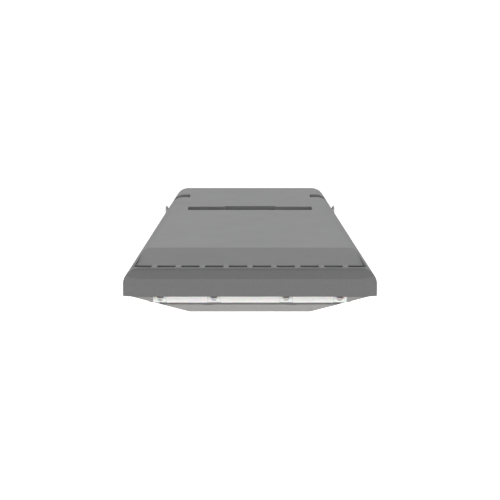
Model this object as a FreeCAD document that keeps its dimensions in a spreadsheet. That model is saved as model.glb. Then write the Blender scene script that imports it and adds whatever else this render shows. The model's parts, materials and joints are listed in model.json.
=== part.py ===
"""LED street light head: a wedge of cast aluminium that slides onto a horizontal mast arm.

Millimetres. The origin is the centre of the arm socket's mouth at the rear. +Y points out of the mouth, along
the arm, +X to the right when looking along +Y, and +Z up. The nose of the head is at -Y.
In the text below, "back" is a distance behind the nose and "drop" a distance below the flat top.
"""
import FreeCAD, Part
import os
import re

import Sketcher

SIZES = {
    # outline of the whole head
    "length": 560,
    "front_width": 330,
    "rear_width": 234,
    "band": 36,
    "rear_depth": 201.8,
    "side_draft": 3.3,
    "wall": 4,
    "top_round": 20,
    "foot_round": 14,
    "corner_reach": 22,
    "corner_sweep": 60,
    # raised lip at the nose
    "crest_back": 8,
    "crest_front": 6.2,
    "crest_drop": 2.2,
    "crest_top": 0.7,
    "chamfer_drop": 12.4,
    "lip_back": 13,
    # ribbed hollow behind the lip
    "dip_depth": 24,
    "dip_angle": 4.5,
    "gutter_back": 50,
    "ridge_back": 130,
    "rim_width": 11,
    "dip_corner": 12,
    "rib_count": 9,
    "rib_pitch": 31.2,
    "rib_thick": 7,
    "rib_drop": 0.8,
    "rib_flat": 4,
    "rib_past": 3,
    # hand slot across the top
    "slot_back": 386,
    "slot_width": 25,
    "slot_half": 92.4,
    "slot_depth": 20,
    "relief_half": 36,
    "relief_reach": 4,
    "relief_depth": 9,
    # socket for the mast arm
    "top_rise": 50,
    "arm_radius": 30,
    "socket_play": 1,
    "socket_wall": 5,
    "socket_length": 90,
    "web_half": 20,
    "bolt_radius": 4,
    "bolt_head": 6.5,
    "bolt_first": 30,
    "bolt_second": 70,
    "bolt_pad": 8,
    "bolt_travel": 12,
    "nut_height": 5,
    # light module
    "tray_thick": 5,
    "tray_gap": 0.5,
    "lens_back": 8,
    "lens_length": 242,
    "cheek_width": 17.6,
    "lens_play": 1.5,
    "flange_thick": 2,
    "lens_height": 9.9,
    "lens_skin": 2.5,
    "lens_border": 22,
    "lens_side": 8,
    "scallop_radius": 8.5,
    "lens_screw_in": 6,
    "lens_screw_inner": 47,
    "lens_screw_side": 9,
    "gasket_width": 2.5,
    "gasket_thick": 1,
    "board_thick": 1.6,
    "board_gap": 2,
    "led_columns": 8,
    "led_rows": 4,
    "led_pitch_x": 27,
    "led_pitch_y": 46,
    "led_side": 5,
    "led_thick": 1,
    "dome_radius": 12,
    "dome_rise": 3.5,
    # hinged gear door
    "hinge_past_lens": 20,
    "hinge_round": 10,
    "hinge_gap": 0.5,
    "hinge_pin": 3,
    "hinge_pin_end": 6,
    "knuckle_at": 60,
    "knuckle_width": 12,
    "knuckle_round": 8,
    "door_gap": 1.5,
    "seal_play": 0.3,
    "seal_inset": 0.8,
    "collar_gap": 0.8,
    "pin_play": 0.05,
    "pin_seat": 0.01,
    # side latches
    "latch_from_rear": 64.5,
    "latch_width": 18,
    "notch_width": 21,
    "notch_inner": 92.4,
    "notch_depth": 5,
    "latch_sheet": 1.5,
    "latch_off": 0.9,
    "latch_pivot_drop": 56,
    "latch_pivot_out": 3.6,
    "latch_barrel": 3.6,
    "latch_pin": 2,
    "latch_top_drop": 17,
    "latch_flare": 8,
    "keeper_drop": 29,
    "keeper_height": 5,
    "keeper_shy": 0.3,
    "nose_reach": 3.2,
    "nose_gap": 0.3,
    "lug_thick": 3.5,
    "lug_gap": 0.3,
    "lug_round": 4,
    # gear on its plate
    "plate_drop": 44,
    "plate_thick": 2,
    "plate_past_hinge": 4,
    "plate_past_surge": 20,
    "plate_half": 108,
    "plate_post_x": 98,
    "plate_post_in": 10,
    "post_radius": 6,
    "driver_in": 6,
    "driver_depth": 68,
    "driver_half": 84,
    "driver_height": 36,
    "driver_ear": 10,
    "driver_ear_thick": 2,
    "device_gap": 20,
    "surge_x": -96,
    "surge_side": 44,
    "surge_height": 28,
    "block_x": -26,
    "block_width": 58,
    "block_depth": 24,
    "block_height": 22,
    "block_step": 10,
    "mouth_radius": 3,
    "mouth_in": 7,
    "clamp_x": 52,
    "clamp_width": 44,
    "clamp_depth": 12,
    "clamp_height": 5,
    "clamp_foot": 9,
    # small fasteners
    "screw_radius": 2.5,
    "screw_head": 4.5,
    "screw_head_height": 3.2,
    "screw_bite": 7,
    "screw_grip": 6.3,
    "small_grip": 4,
    "small_radius": 1.5,
    "small_head": 2.8,
    "small_head_height": 2,
    "hole_play": 0.1,
    "tray_screw_front": 60,
    "tray_screw_in": 15,
    "frame_screw_front": 110,
    "frame_screw_in": 50,
    "pillar_radius": 5.8,
    "grommet_x": 70,
    "grommet_drop": 20,
    "grommet_radius": 8,
    "vent_x": -70,
    "vent_radius": 6,
    "vent_head": 9,
    "vent_head_height": 4,
    "earth_x": 60,
    "earth_past_plate": 23,
}

RELATIONS = {
    "lens_rear": "lens_back + lens_length",
    "lens_half": "(front_width + (rear_width - front_width) * lens_rear / length) / 2 - cheek_width",
    "lens_screw_outer": "lens_half - lens_screw_side",
    "tray_screw_rear": "lens_rear - tray_screw_in",
    "frame_screw_rear": "lens_rear - frame_screw_in",
    "hinge_back": "lens_rear + hinge_past_lens",
    "plate_front": "hinge_back + plate_past_hinge",
    "driver_front": "plate_front + driver_in",
    "device_front": "driver_front + driver_depth + device_gap",
    "plate_rear": "device_front + surge_side + plate_past_surge",
    "earth_back": "plate_rear + earth_past_plate",
    "latch_back": "length - latch_from_rear",
}

ALIAS = re.compile(r"\b(" + "|".join(sorted([*SIZES, *RELATIONS], key=len, reverse=True)) + r")\b")

doc = FreeCAD.newDocument("street_light_head")
sheet = doc.addObject("Spreadsheet::Sheet", "Dims")
for row, (alias, content) in enumerate([*SIZES.items(), *RELATIONS.items()], start=1):
    sheet.set(f"A{row}", alias.replace("_", " "))
    sheet.set(f"B{row}", f"={content}")
    sheet.setAlias(f"B{row}", alias)
doc.recompute()

SUBPARTS = []


def bound(text):
    """An expression on the sheet from plain words, such as 'length / 2'."""
    return ALIAS.sub(r"Dims.\1", text)


def value(text):
    return float(sheet.evalExpression(bound(text)))


def bind(item, name, text):
    item.setExpression(name, bound(text))


def half(back):
    """Half the head's width at a distance behind the nose, on the upright band."""
    return f"((front_width + (rear_width - front_width) * ({back}) / length) / 2)"


def under(back):
    """How far the sloping underside lies below the top, at a distance behind the nose."""
    return f"(band + (rear_depth - band) * ({back}) / length)"


def y_at(back):
    return f"(({back}) - length)"


def z_at(drop):
    return f"(top_rise - ({drop}))"


def at_point(item, x, back, drop):
    bind(item, "Placement.Base.x", x)
    bind(item, "Placement.Base.y", y_at(back))
    bind(item, "Placement.Base.z", z_at(drop))


def block(name, x, back, drop):
    """A box from pairs of expressions: left and right, near and far, upper and lower."""
    item = doc.addObject("Part::Box", name)
    bind(item, "Length", f"({x[1]}) - ({x[0]})")
    bind(item, "Width", f"({back[1]}) - ({back[0]})")
    bind(item, "Height", f"({drop[1]}) - ({drop[0]})")
    at_point(item, x[0], back[0], drop[1])
    return item


TURNS = {
    "up": FreeCAD.Rotation(),
    "down": FreeCAD.Rotation(FreeCAD.Vector(1, 0, 0), 180),
    "right": FreeCAD.Rotation(FreeCAD.Vector(0, 1, 0), 90),
    "rearward": FreeCAD.Rotation(FreeCAD.Vector(1, 0, 0), -90),
}


def rod(name, radius, length, point, along="up"):
    item = doc.addObject("Part::Cylinder", name)
    bind(item, "Radius", radius)
    bind(item, "Height", length)
    item.Placement.Rotation = TURNS[along]
    at_point(item, *point)
    return item


def hexagon(name, corner, length, point, along="up"):
    item = doc.addObject("Part::Prism", name)
    item.Polygon = 6
    bind(item, "Circumradius", corner)
    bind(item, "Height", length)
    item.Placement.Rotation = TURNS[along]
    at_point(item, *point)
    return item


def cut(name, base, *tools):
    item = doc.addObject("Part::Cut", name)
    item.Base = base
    item.Tool = tools[0] if len(tools) == 1 else fuse(name + "_tools", *tools)
    return item


def fuse(name, *pieces):
    item = doc.addObject("Part::MultiFuse", name)
    item.Shapes = list(pieces)
    return item


def common(name, first, second):
    item = doc.addObject("Part::Common", name)
    item.Base = first
    item.Tool = second
    return item


def group(name, pieces):
    item = doc.addObject("Part::Compound", name)
    item.Links = list(pieces)
    return item


def sketch_on(body, role, outline, offset="0"):
    """A closed outline of straight lines on a plane of the body, its corners held by expressions."""
    sketch = body.newObject("Sketcher::SketchObject", body.Name + "_outline")
    plane = [item for item in body.Origin.OriginFeatures if item.Role == role][0]
    sketch.AttachmentSupport = [(plane, "")]
    sketch.MapMode = "FlatFace"
    bind(sketch, "AttachmentOffset.Base.z", offset)
    corners = [FreeCAD.Vector(value(u), value(v), 0) for u, v in outline]
    count = len(corners)
    for index in range(count):
        sketch.addGeometry(Part.LineSegment(corners[index], corners[(index + 1) % count]), False)
    for index in range(count):
        sketch.addConstraint(Sketcher.Constraint("Coincident", index, 2, (index + 1) % count, 1))
    for index, (u, v) in enumerate(outline):
        for kind, text, number in (("DistanceX", u, corners[index].x), ("DistanceY", v, corners[index].y)):
            place = sketch.addConstraint(Sketcher.Constraint(kind, index, 1, number))
            bind(sketch, f"Constraints[{place}]", text)
    return sketch


def pad(body, sketch, length, symmetric=False, taper=None, reversed_way=False):
    item = body.newObject("PartDesign::Pad", body.Name + "_pad")
    item.Profile = sketch
    item.SideType = "Symmetric" if symmetric else "One side"
    item.Reversed = reversed_way
    bind(item, "Length", length)
    if taper:
        bind(item, "TaperAngle", taper)
    return item


def prism(name, role, outline, length, offset="0", symmetric=True):
    body = doc.addObject("PartDesign::Body", name)
    pad(body, sketch_on(body, role, outline, offset), length, symmetric)
    return body


def side_form(name, outline, width="2 * front_width"):
    """A shape across the whole width, from a side outline of (back, drop) corners."""
    corners = [(y_at(back), z_at(drop)) for back, drop in outline]
    return prism(name, "YZ_Plane", corners, width)


def round_edges(body, radius, chosen):
    """Rounds the edges of the body's last feature that the test picks."""
    doc.recompute()
    last = body.Tip
    names = [f"Edge{place}" for place, edge in enumerate(last.Shape.Edges, start=1) if chosen(edge)]
    item = body.newObject("PartDesign::Fillet", body.Name + "_round")
    item.Base = (last, names)
    bind(item, "Radius", radius)
    doc.recompute()
    return item


def runs_lengthwise(edge):
    return edge.BoundBox.YLength > value("length") / 2


def is_upright(edge):
    return edge.BoundBox.ZLength > value("wall") and edge.BoundBox.XLength + edge.BoundBox.YLength < 0.001


def plan_outline(inset, front="0", rear="length"):
    """Corners of the head's plan between two stations, kept inside the outer wall by an inset."""
    near = f"({half(front)} - ({inset}))"
    far = f"({half(rear)} - ({inset}))"
    return [
        (f"-{near}", y_at(front)),
        (near, y_at(front)),
        (far, y_at(rear)),
        (f"-{far}", y_at(rear)),
    ]


def keep(label, item):
    item.Label = label
    SUBPARTS.append(item)
    return item


def upper_form(name, inset, rounding):
    """The upright band under the flat top, with its two long top edges rounded."""
    body = doc.addObject("PartDesign::Body", name)
    outline = plan_outline(inset, inset, f"length - ({inset})")
    pad(body, sketch_on(body, "XY_Plane", outline, z_at("band")), f"band - ({inset})")
    top = value(z_at(inset))
    round_edges(body, rounding, lambda edge: runs_lengthwise(edge) and edge.BoundBox.ZMin > top - 0.001)
    return body


def lower_form(name, inset, rounding):
    """The wedge under the band: drafted sides, a sloping underside and rounded foot edges.

    It starts a little above the band's lower edge, so that the foot edges keep their rounding up to the nose.
    """
    body = doc.addObject("PartDesign::Body", name)
    lift = "(2 * foot_round)"
    start = f"({inset} - {lift} * tan(side_draft))"
    outline = plan_outline(start, inset, f"length - ({inset}) + {lift} * tan(side_draft)")
    sketch = sketch_on(body, "XY_Plane", outline, z_at(f"band - {lift}"))
    pad(body, sketch, "rear_depth", taper="-side_draft", reversed_way=True)
    slope = [
        (y_at("-band"), z_at(f"{under('-band')} - ({inset})")),
        (y_at("length + band"), z_at(f"{under('length + band')} - ({inset})")),
        (y_at("length + band"), z_at("2 * rear_depth")),
        (y_at("-band"), z_at("2 * rear_depth")),
    ]
    pocket = body.newObject("PartDesign::Pocket", name + "_slope")
    pocket.Profile = sketch_on(body, "YZ_Plane", slope)
    pocket.SideType = "Symmetric"
    bind(pocket, "Length", "4 * front_width")
    level = value(z_at("2 * band"))
    round_edges(body, rounding, lambda edge: runs_lengthwise(edge) and edge.BoundBox.ZMin < level)
    return body


def mirror_pair(maker):
    return [maker(side, sign) for side, sign in (("left", "-1"), ("right", "1"))]


# Upper casting: band, lip, ribbed hollow, slot, latch channels, socket and bosses

def nose_trim():
    """What is taken off the nose to leave the lip's chamfer and its rounded crest."""
    return side_form(
        "nose_trim",
        [
            ("-wall", "-wall"),
            ("-wall", "chamfer_drop"),
            ("0", "chamfer_drop"),
            ("crest_front", "crest_drop"),
            ("crest_back", "crest_top"),
            ("crest_back + crest_drop", "0"),
            ("crest_back + crest_drop", "-wall"),
        ],
    )


def corner_trims():
    """What the front face loses where it sweeps back towards its two ends."""
    def trim(side, sign):
        name = side + "_corner_trim"
        square = block(name + "_square", span_of(sign, f"{half('0')} - corner_reach",
                                                 f"{half('0')} + wall"),
                       ("-wall", "corner_reach"), ("-wall", "rear_depth"))
        post = rod(name + "_post", "corner_sweep", "2 * rear_depth",
                   (f"{sign} * ({half('0')} - corner_reach)", "corner_sweep", "rear_depth + band"))
        return cut(name, square, post)
    return mirror_pair(trim)


def dip_profile(deeper):
    """Side outline of the gutter behind the lip and the slope after it, or of their underside."""
    start = "lip_back" if deeper == "0" else "0"
    edge = f"gutter_back + ({deeper})"
    end = f"ridge_back + ({deeper}) / sin(dip_angle) - ({deeper}) / tan(dip_angle)"
    return [
        (start, f"dip_depth + ({deeper})"),
        (edge, f"dip_depth + ({deeper})"),
        (edge, f"(ridge_back - ({edge})) * tan(dip_angle) + ({deeper}) / cos(dip_angle)"),
        (end, deeper),
        (end, "-wall"),
        (start, "-wall"),
    ]


def dip():
    area = doc.addObject("PartDesign::Body", "dip_area")
    outline = plan_outline("rim_width", "lip_back", "ridge_back + wall")
    pad(area, sketch_on(area, "XY_Plane", outline, z_at("band")), "2 * band")
    front = value(y_at("lip_back"))
    round_edges(area, "dip_corner", lambda edge: is_upright(edge) and edge.BoundBox.YMin < front + 0.001)
    return common("dip", side_form("dip_side", dip_profile("0")), area)


def ribs():
    """Ribs that cross the gutter from the lip and run out on the slope behind it."""
    body = doc.addObject("PartDesign::Body", "ribs")
    start = "lip_back - wall / 2"
    knee = "lip_back + rib_flat"
    end = "gutter_back + rib_past"
    landing = f"(ridge_back - ({end})) * tan(dip_angle)"
    outline = [
        (y_at(start), z_at("dip_depth + wall / 2")),
        (y_at(start), z_at("rib_drop")),
        (y_at(knee), z_at("rib_drop")),
        (y_at(end), z_at(landing)),
        (y_at(end), z_at(f"{landing} + wall / 2")),
        (y_at("gutter_back + wall / 2"), z_at(f"{landing} + wall / 2")),
        (y_at("gutter_back + wall / 2"), z_at("dip_depth + wall / 2")),
    ]
    sketch = sketch_on(body, "YZ_Plane", outline, "-rib_pitch * (rib_count - 1) / 2")
    first = pad(body, sketch, "rib_thick", symmetric=True)
    pattern = body.newObject("PartDesign::LinearPattern", "rib_row")
    pattern.Originals = [first]
    pattern.Direction = (sketch, ["N_Axis"])
    bind(pattern, "Length", "rib_pitch * (rib_count - 1)")
    bind(pattern, "Occurrences", "rib_count")
    body.Tip = pattern
    return body


def slot_cut(name):
    outline = [
        ("-slot_half", y_at("slot_back")),
        ("slot_half", y_at("slot_back")),
        ("slot_half", y_at("slot_back + slot_width")),
        ("-slot_half", y_at("slot_back + slot_width")),
    ]
    well = prism(name + "_well", "XY_Plane", outline, "slot_depth + wall", z_at("slot_depth"),
                 symmetric=False)
    ease = [
        ("-relief_half - relief_reach", y_at("slot_back + slot_width - wall")),
        ("relief_half + relief_reach", y_at("slot_back + slot_width - wall")),
        ("relief_half + relief_reach", y_at("slot_back + slot_width")),
        ("relief_half", y_at("slot_back + slot_width + relief_reach")),
        ("-relief_half", y_at("slot_back + slot_width + relief_reach")),
        ("-relief_half - relief_reach", y_at("slot_back + slot_width")),
    ]
    relief = prism(name + "_relief", "XY_Plane", ease, "relief_depth + wall", z_at("relief_depth"),
                   symmetric=False)
    return fuse(name, well, relief)


LATCH_SIDE = half("latch_back")
BULKHEAD = ("hinge_back - hinge_round - hinge_gap - wall", "hinge_back - hinge_round - hinge_gap")


def span_of(sign, near, far):
    """A left-right pair of expressions between two distances from the middle, on the side that sign picks."""
    return (f"-({far})", f"-({near})") if sign == "-1" else (near, far)


def latch_stock():
    """Thicker stock inside the shell where the latch channels are cut."""
    reach = ("latch_back - notch_width / 2 - wall", "latch_back + notch_width / 2 + wall")

    def stock(side, sign):
        shelf = block(side + "_shelf", span_of(sign, "notch_inner - wall", f"{LATCH_SIDE} + wall"),
                      reach, ("-wall", "notch_depth + wall"))
        cheek = block(side + "_cheek", span_of(sign, f"{LATCH_SIDE} - notch_depth - wall",
                                               f"{LATCH_SIDE} + wall"),
                      reach, ("0", "band"))
        haunch = rod(side + "_haunch", "top_round - notch_depth", "notch_width + 2 * wall",
                     (f"{sign} * ({LATCH_SIDE} - top_round)", reach[0], "top_round"), "rearward")
        corner = block(side + "_corner", span_of(sign, f"{LATCH_SIDE} - top_round", f"{LATCH_SIDE} + wall"),
                       reach, ("-wall", "top_round"))
        return fuse(side + "_stock", shelf, cheek, cut(side + "_elbow", corner, haunch))
    return mirror_pair(stock)


def latch_channels():
    """Notch in the top and channel down the side for each latch, with the keeper left standing."""
    reach = ("latch_back - notch_width / 2", "latch_back + notch_width / 2")

    def channel(side, sign):
        notch = block(side + "_notch", span_of(sign, "notch_inner", f"{LATCH_SIDE} + wall"),
                      reach, ("-wall", "notch_depth"))
        groove = block(side + "_groove", span_of(sign, f"{LATCH_SIDE} - notch_depth",
                                                 f"{LATCH_SIDE} + wall"),
                       reach, ("-wall", "band + wall"))
        ease = rod(side + "_ease", "top_round - notch_depth", "notch_width",
                   (f"{sign} * ({LATCH_SIDE} - top_round)", reach[0], "top_round"), "rearward")
        square = block(side + "_square", span_of(sign, f"{LATCH_SIDE} - top_round", f"{LATCH_SIDE} + wall"),
                       reach, ("-wall", "top_round"))
        bend = cut(side + "_bend", square, ease)
        keeper = block(side + "_keeper", span_of(sign, f"{LATCH_SIDE} - notch_depth - wall / 2",
                                                 f"{LATCH_SIDE} - keeper_shy"),
                       ("latch_back - notch_width", "latch_back + notch_width"),
                       ("keeper_drop", "keeper_drop + keeper_height"))
        return cut(side + "_channel", fuse(side + "_path", notch, groove, bend), keeper)
    return mirror_pair(channel)


def tray_screw_places():
    """Screws in the hollow cheeks, midway between the well's wall and the outer wall."""
    return [(f"{sign} * (lens_half + lens_play + {half(back)}) / 2", back)
            for back in ("tray_screw_front", "tray_screw_rear") for sign in ("-1", "1")]


def frame_screw_places():
    return [(f"{sign} * (lens_half + lens_play + {half(back)}) / 2", back)
            for back in ("frame_screw_front", "frame_screw_rear") for sign in ("-1", "1")]


def bosses(name, places, floor, radius):
    """Round bosses from a floor up to the top, which the shell's own outline then trims."""
    return [rod(f"{name}_{index}", radius, floor, (x, back, floor)) for index,
            (x, back) in enumerate(places)]


PLATE_POSTS = [(f"{sign} * plate_post_x", back)
               for back in ("(plate_front + plate_post_in)", "(plate_rear - plate_post_in)")
               for sign in ("-1", "1")]


def far_out():
    """Space well around the band, down to its lower edge."""
    return block("far_out", ("-front_width", "front_width"), ("-length", "2 * length"), ("-band", "band"))


def housing():
    outer = upper_form("band_form", "0", "top_round")
    shell = cut("shell", outer, nose_trim(), *corner_trims())
    inner = upper_form("band_hollow", "wall", "top_round - wall")
    hollow = cut("hollow", inner, side_form("dip_skin", dip_profile("wall")),
                 block("bulkhead", ("-front_width", "front_width"), BULKHEAD, ("0", "2 * band")))
    tub = block("slot_tub", ("-slot_half - wall", "slot_half + wall"),
                ("slot_back - wall", "slot_back + slot_width + relief_reach + wall"),
                ("0", "slot_depth + wall"))
    socket = rod("socket", "arm_radius + socket_play + socket_wall", "socket_length",
                 ("0", "length - socket_length", "top_rise"), "rearward")
    web = block("socket_web", ("-web_half", "web_half"), ("length - socket_length", "length"),
                ("0", "top_rise - arm_radius"))
    pads = [rod(f"bolt_boss_{index}", "bolt_head + wall / 2", "arm_radius + socket_play + bolt_pad",
                ("0", f"length - {back}", "top_rise + arm_radius + socket_play + bolt_pad"))
            for index, back in enumerate(("bolt_first", "bolt_second"))]
    posts = [*bosses("tray_boss", tray_screw_places(), "(band - tray_thick)", "pillar_radius"),
             *bosses("frame_boss", frame_screw_places(), "(band - tray_thick)", "pillar_radius"),
             *bosses("plate_post", PLATE_POSTS, "plate_drop", "post_radius"),
             *bosses("earth_boss", [("earth_x", "earth_back")], "(band - wall)", "post_radius")]
    stock = cut("stock", fuse("stock_blank", *latch_stock(), *posts, tub, web),
                cut("outside", far_out(), outer))
    skin = fuse("skin", cut("open_shell", shell, hollow), stock, socket, *pads)
    solid = fuse("solid", cut("dipped", skin, dip()), ribs())
    bore = rod("arm_bore", "arm_radius + socket_play", "2 * socket_length",
               ("0", "length - 3 * socket_length / 2", "top_rise"), "rearward")
    holes = [rod(f"bolt_way_{index}", "bolt_radius + hole_play", "rear_depth",
                 ("0", f"length - {back}", "top_rise"), "down")
             for index, back in enumerate(("bolt_first", "bolt_second"))]
    pilots = [rod(f"pilot_{index}", "screw_radius + hole_play", "screw_bite",
                  (x, back, "band - tray_thick"))
              for index, (x, back) in enumerate(tray_screw_places() + frame_screw_places())]
    plate_pilots = [rod(f"plate_pilot_{index}", "screw_radius + hole_play", "screw_bite",
                        (x, back, "plate_drop"))
                    for index, (x, back) in enumerate(PLATE_POSTS)]
    earth = rod("earth_pilot", "screw_radius + hole_play", "screw_bite",
                ("earth_x", "earth_back", "band - wall"))
    wire_way = rod("wire_way", "grommet_radius", "4 * wall",
                   ("grommet_x", "hinge_back - hinge_round - 3 * wall", "grommet_drop"), "rearward")
    return keep("housing", cut("housing", solid, slot_cut("slot"), *latch_channels(), bore, *holes,
                               *pilots, *plate_pilots, earth, wire_way))


# Lower front casting: two hollow cheeks beside the light module and the wall behind it

WELL = "(lens_half + lens_play)"
HINGE_DROP = "(" + under("hinge_back") + " - hinge_round / cos(atan((rear_depth - band) / length)))"


def led_frame(lower, lower_hollow):
    front = side_form("frame_side", [("crest_back", "band"), (BULKHEAD[1], "band"),
                                     (BULKHEAD[1], "rear_depth"),
                                     ("crest_back", "rear_depth")])
    body = common("frame_block", lower, front)
    well = block("well", (f"-{WELL}", WELL), ("-wall", BULKHEAD[0]), ("0", "rear_depth"))
    limits = side_form("cheek_side", [("0", "band"), (BULKHEAD[0], "band"), (BULKHEAD[0], "rear_depth"),
                                      ("0", "rear_depth")])
    core = block("well_walls", (f"-{WELL} - wall", f"{WELL} + wall"), ("-wall", "length"),
                 ("0", "rear_depth"))
    cheeks = cut("cheek_hollows", common("cheek_space", lower_hollow, limits), core)
    pillars = common("pillars", lower, group("pillar_rods", [
        rod(f"pillar_{index}", "pillar_radius", "rear_depth", (x, back, "rear_depth + band"))
        for index, (x, back) in enumerate(frame_screw_places())]))
    knuckles = []
    for side, sign in (("left", "-1"), ("right", "1")):
        x = (f"{sign} * knuckle_at - knuckle_width / 2", f"{sign} * knuckle_at + knuckle_width / 2")
        eye = rod(side + "_eye", "knuckle_round", "knuckle_width", (x[0], "hinge_back", HINGE_DROP),
                  "right")
        arm = block(side + "_arm", x, (BULKHEAD[0], "hinge_back"),
                    (f"{HINGE_DROP} - knuckle_round", f"{HINGE_DROP} + knuckle_round / 2"))
        knuckles += [eye, arm]
    solid = fuse("frame_solid", cut("frame_open", cut("frame_well", body, well), cheeks), pillars,
                 *knuckles)
    pin_way = rod("frame_pin_way", "hinge_pin + pin_play", "2 * front_width",
                  ("-front_width", "hinge_back", HINGE_DROP), "right")
    ways = []
    for index, (x, back) in enumerate(frame_screw_places()):
        ways.append(rod(f"frame_way_{index}", "screw_radius + hole_play", "rear_depth",
                        (x, back, "rear_depth")))
        ways.append(rod(f"frame_sink_{index}", "screw_head + hole_play", "rear_depth",
                        (x, back, f"{under(back)} + rear_depth - screw_head_height - wall / 4")))
    vent = rod("vent_way", "vent_radius", "4 * wall", ("vent_x", f"{BULKHEAD[0]} - wall", "2 * band"),
               "rearward")
    return keep("led_frame", cut("led_frame", solid, pin_way, vent, *ways))


# Light module: heat tray, board, emitters, lens cover, seal and screws

def lens_screw_places():
    return [(f"{sign} * {across}", back)
            for back in ("(lens_back + lens_screw_in)", "(lens_rear - lens_screw_in)")
            for across in ("lens_screw_inner", "lens_screw_outer")
            for sign in ("-1", "1")]


def emitter_places():
    middle = "(lens_back + lens_length / 2)"
    return [(f"led_pitch_x * ({column} - (led_columns - 1) / 2)",
             f"{middle} + led_pitch_y * ({row} - (led_rows - 1) / 2)")
            for row in range(SIZES["led_rows"]) for column in range(SIZES["led_columns"])]


CAVITY = {
    "x": ("-(lens_half - lens_side)", "(lens_half - lens_side)"),
    "back": ("lens_back + lens_border", "lens_rear - lens_border"),
}


def board_screw_places():
    return [(x, back) for back in ("lens_back + lens_length / 2 - led_pitch_y",
                                   "lens_back + lens_length / 2 + led_pitch_y")
            for x in ("-led_pitch_x * 2", "0", "led_pitch_x * 2")]


def led_tray():
    body = doc.addObject("PartDesign::Body", "tray_plate")
    outline = plan_outline("wall + tray_gap", "wall + tray_gap", f"{BULKHEAD[0]} - tray_gap")
    pad(body, sketch_on(body, "XY_Plane", outline, z_at("band")), "tray_thick")
    through = [rod(f"tray_way_{index}", "screw_radius + hole_play", "3 * tray_thick",
                   (x, back, "band + tray_thick"))
               for index, (x, back) in enumerate([*tray_screw_places(), *frame_screw_places(),
                                                  *lens_screw_places()])]
    small = [rod(f"board_pilot_{index}", "small_radius + hole_play", "3 * tray_thick",
                 (x, back, "band + tray_thick"))
             for index, (x, back) in enumerate(board_screw_places())]
    lead = rod("lead_way", "grommet_radius / 2", "3 * tray_thick",
               ("grommet_x", "lens_rear - lens_border - grommet_radius", "band + tray_thick"))
    return keep("led_tray", cut("led_tray", body, *through, *small, lead))


def led_board():
    plate = block("board_plate", (f"{CAVITY['x'][0]} + board_gap", f"{CAVITY['x'][1]} - board_gap"),
                  (f"{CAVITY['back'][0]} + board_gap", f"{CAVITY['back'][1]} - board_gap"),
                  ("band", "band + board_thick"))
    ways = [rod(f"board_way_{index}", "small_radius + hole_play", "4 * board_thick",
                (x, back, "band + 2 * board_thick"))
            for index, (x, back) in enumerate(board_screw_places())]
    lead = rod("board_lead_way", "grommet_radius / 2", "4 * board_thick",
               ("grommet_x", "lens_rear - lens_border - grommet_radius", "band + 2 * board_thick"))
    return keep("led_board", cut("led_board", plate, *ways, lead))


def led_emitters():
    chips = [block(f"emitter_{index}", (f"{x} - led_side / 2", f"{x} + led_side / 2"),
                   (f"{back} - led_side / 2", f"{back} + led_side / 2"),
                   ("band + board_thick", "band + board_thick + led_thick"))
             for index, (x, back) in enumerate(emitter_places())]
    return keep("led_emitters", group("led_emitters", chips))


def ring(name, x, back, drop, width):
    """A rectangular band whose outer edges are given."""
    outer = block(name + "_outer", x, back, drop)
    inner = block(name + "_inner", (f"{x[0]} + {width}", f"{x[1]} - {width}"),
                  (f"{back[0]} + {width}", f"{back[1]} - {width}"),
                  (f"{drop[0]} - wall", f"{drop[1]} + wall"))
    return cut(name, outer, inner)


def seal_ring(name):
    edge = "(board_gap / 2 + gasket_width)"
    return ring(name, (f"{CAVITY['x'][0]} - {edge}", f"{CAVITY['x'][1]} + {edge}"),
                (f"{CAVITY['back'][0]} - {edge}", f"{CAVITY['back'][1]} + {edge}"),
                ("band", "band + gasket_thick"), "gasket_width")


def lens_cover():
    flange = block("flange", ("-lens_half", "lens_half"), ("lens_back", "lens_rear"),
                   ("band", "band + flange_thick"))
    slab = block("slab", ("-lens_half", "lens_half"), ("lens_back", "lens_rear"),
                 ("band + flange_thick", "band + lens_height"))
    scallops = [rod(f"scallop_{index}", "scallop_radius", "2 * lens_height",
                    (x, back, "band + 2 * lens_height + flange_thick"))
                for index, (x, back) in enumerate(lens_screw_places())]
    mouths = []
    for index, (x, back) in enumerate(lens_screw_places()):
        front = index < len(scallops) / 2
        reach = ("lens_back - wall", back) if front else (back, "lens_rear + wall")
        mouths.append(block(f"mouth_{index}", (f"{x} - scallop_radius", f"{x} + scallop_radius"), reach,
                            ("band + flange_thick", "band + 2 * lens_height")))
    shaped = fuse("shaped", flange, cut("scalloped", slab, *scallops, *mouths))
    domes = []
    for index, (x, back) in enumerate(emitter_places()):
        dome = doc.addObject("Part::Sphere", f"dome_{index}")
        bind(dome, "Radius", "dome_radius")
        dome.Angle1 = -90
        bind(dome, "Angle2", "-asin((dome_radius - dome_rise - lens_skin / 2) / dome_radius)")
        at_point(dome, x, back, "band + lens_height + dome_rise - dome_radius")
        domes.append(dome)
    cavity = block("lens_cavity", CAVITY["x"], CAVITY["back"],
                   ("band - wall", "band + lens_height - lens_skin"))
    ways = [rod(f"lens_way_{index}", "screw_radius + hole_play", "4 * wall", (x, back, "band + 2 * wall"))
            for index, (x, back) in enumerate(lens_screw_places())]
    return keep("lens_cover", cut("lens_cover", fuse("domed", shaped, *domes), cavity,
                                  seal_ring("seal_groove"), *ways))


def screw(name, place, bottom, shank, radius="screw_radius", head="screw_head",
          head_height="screw_head_height"):
    """A screw driven upwards: its head's bearing face lies at a drop, its shank rises from there."""
    x, back = place
    stem = rod(name + "_stem", radius, shank, (x, back, bottom))
    cap = rod(name + "_cap", head, head_height, (x, back, f"{bottom} + {head_height}"))
    socket = hexagon(name + "_socket", f"{head} / 2", head_height,
                     (x, back, f"{bottom} + 3 * {head_height} / 2"))
    return cut(name, fuse(name + "_blank", stem, cap), socket)


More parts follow.
